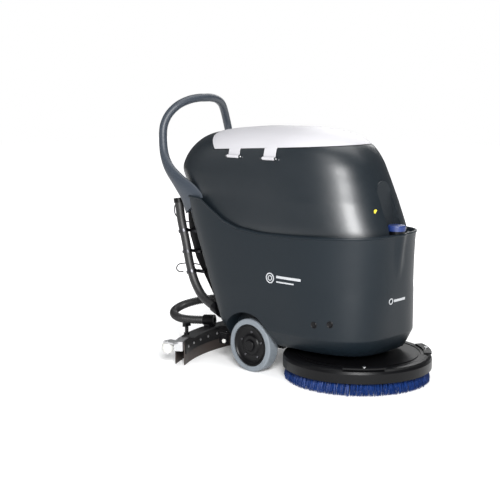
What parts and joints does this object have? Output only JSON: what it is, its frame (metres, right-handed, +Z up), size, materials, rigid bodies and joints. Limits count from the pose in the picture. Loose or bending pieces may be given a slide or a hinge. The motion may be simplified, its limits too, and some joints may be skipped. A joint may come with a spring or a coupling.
{
  "type": "floor scrubber machine",
  "caption": "Walk-behind floor scrubber with a round scrub brush, hoop handle, hinged tank lid, side wheels and a rear suction squeegee on a flexible hose.",
  "frame": {"origin": "middle of the machine outline without its free hose, on the floor", "axes": "+X forward, towards the brush; +Y to the left; +Z up"},
  "size_m": [1.1783, 0.77, 1.022],
  "materials": {
    "shell_plastic": "satin",
    "lid_plastic": "satin",
    "handle_plastic": "satin",
    "black_plastic": "satin",
    "frame_paint": "satin",
    "tyre_grey": "matt",
    "hose_black": "matt",
    "seal_rubber": "matt",
    "blade_rubber": "matt",
    "dark_steel": "satin",
    "bright_steel": "brushed",
    "cast_aluminium": "satin",
    "bristle_blue": "matt",
    "cap_blue": "satin",
    "marker_yellow": "satin",
    "roller_grey": "satin",
    "battery_case": "satin",
    "emblem_dark": "satin",
    "button_green": "satin"
  },
  "bodies": {
    "machine": {"solution_tank": "shell_plastic", "recovery_tank": "shell_plastic", "lid_seal": "seal_rubber", "lid_pins": "bright_steel", "float_cage": "black_plastic", "tank_marker": "marker_yellow", "handle_hoop": "handle_plastic", "rear_cover": "black_plastic", "control_panel": "black_plastic", "drain_hose": "hose_black", "drain_plug": "black_plastic", "hose_sockets": "black_plastic", "hose_clips": "dark_steel", "cable_ring_hook": "dark_steel", "cable_j_hook": "dark_steel", "level_tube": "hose_black", "vacuum_hose": "hose_black", "chassis_frame": "frame_paint", "rear_blocks": "roller_grey", "wheel_axle": "bright_steel", "pivot_pins": "bright_steel", "batteries": "battery_case", "vacuum_motor": "frame_paint", "suction_duct": "black_plastic", "solution_filter": "black_plastic", "filler_neck": "black_plastic", "emblem_plates": "emblem_dark", "shell_screws": "dark_steel"},
    "lid": {"tank_lid": "lid_plastic"},
    "float": {"float_ball": "roller_grey"},
    "cap": {"filler_cap": "cap_blue"},
    "button": {"start_button": "button_green"},
    "key": {"key_switch": "bright_steel"},
    "lever": {"lift_lever": "black_plastic"},
    "wheel_right": {"tyre_right": "tyre_grey", "hub_right": "black_plastic"},
    "wheel_left": {"tyre_left": "tyre_grey", "hub_left": "black_plastic"},
    "arms": {"deck_arms": "frame_paint"},
    "deck": {"deck_cover": "black_plastic", "deck_housing": "black_plastic", "side_lugs": "black_plastic", "deck_bolts": "bright_steel", "brush_motor": "frame_paint", "gearbox": "cast_aluminium"},
    "brush": {"drive_shaft": "bright_steel", "brush_disc": "black_plastic", "bristles": "bristle_blue"},
    "squeegee": {"squeegee_bracket": "frame_paint", "squeegee_body": "cast_aluminium", "front_blade": "blade_rubber", "front_strap": "black_plastic", "rear_blade": "blade_rubber", "suction_port": "black_plastic", "roller_bolts": "bright_steel"},
    "roller_right": {"end_roller_right": "roller_grey"},
    "roller_left": {"end_roller_left": "roller_grey"},
    "knob_right": {"squeegee_knob_right": "black_plastic"},
    "knob_left": {"squeegee_knob_left": "black_plastic"}
  },
  "joints": [
    {"name": "wheel_spin_right", "type": "hinge", "parent": "machine", "child": "wheel_right", "pos_m": [-0.051, -0.19, 0.1], "axis": [0, 1, 0], "continuous": true},
    {"name": "wheel_spin_left", "type": "hinge", "parent": "machine", "child": "wheel_left", "pos_m": [-0.051, 0.19, 0.1], "axis": [0, 1, 0], "continuous": true},
    {"name": "lid_hinge", "type": "hinge", "parent": "machine", "child": "lid", "pos_m": [-0.026, -0.201, 0.798], "axis": [1, 0, 0], "range_deg": [0, 100]},
    {"name": "float_rise", "type": "slide", "parent": "machine", "child": "float", "axis": [0, 0, 1], "range_m": [0, 0.02]},
    {"name": "cap_lift", "type": "slide", "parent": "machine", "child": "cap", "axis": [0, 0, 1], "range_m": [0, 0.04]},
    {"name": "button_press", "type": "slide", "parent": "machine", "child": "button", "axis": [1, 0, 0], "range_m": [0, 0.003], "stiffness_N_per_m": 500, "springref_m": -0.002},
    {"name": "key_turn", "type": "hinge", "parent": "machine", "child": "key", "pos_m": [-0.517, -0.03, 0.77], "axis": [1, 0, 0], "range_deg": [0, 90]},
    {"name": "lever_turn", "type": "hinge", "parent": "machine", "child": "lever", "pos_m": [-0.507, 0.1, 0.745], "axis": [0, 1, 0], "range_deg": [0, 40]},
    {"name": "deck_lift", "type": "hinge", "parent": "machine", "child": "arms", "pos_m": [-0.021, 0, 0.1], "axis": [0, -1, 0], "range_deg": [0, 18]},
    {"name": "deck_level", "type": "hinge", "parent": "arms", "child": "deck", "pos_m": [0.044, 0, 0.1], "axis": [0, -1, 0], "range_deg": [-18, 0]},
    {"name": "brush_spin", "type": "hinge", "parent": "deck", "child": "brush", "pos_m": [0.285, 0, 0.05], "axis": [0, 0, 1], "continuous": true},
    {"name": "squeegee_lift", "type": "hinge", "parent": "machine", "child": "squeegee", "pos_m": [-0.201, 0, 0.092], "axis": [0, 1, 0], "range_deg": [0, 10], "deforming": ["vacuum_hose"]},
    {"name": "roller_spin_right", "type": "hinge", "parent": "squeegee", "child": "roller_right", "pos_m": [-0.339, -0.362, 0.07], "axis": [0, 0, 1], "continuous": true},
    {"name": "roller_spin_left", "type": "hinge", "parent": "squeegee", "child": "roller_left", "pos_m": [-0.339, 0.362, 0.07], "axis": [0, 0, 1], "continuous": true},
    {"name": "knob_turn_right", "type": "hinge", "parent": "squeegee", "child": "knob_right", "pos_m": [-0.34989, -0.25, 0.12], "axis": [0, 0, 1], "range_deg": [0, 180]},
    {"name": "knob_turn_left", "type": "hinge", "parent": "squeegee", "child": "knob_left", "pos_m": [-0.34989, 0.25, 0.12], "axis": [0, 0, 1], "range_deg": [0, 180]}
  ],
  "couplings": [
    {"joint": "deck_level", "follows": "deck_lift", "ratio": -1},
    {"joint": "lever_turn", "follows": "squeegee_lift", "ratio": 4}
  ]
}
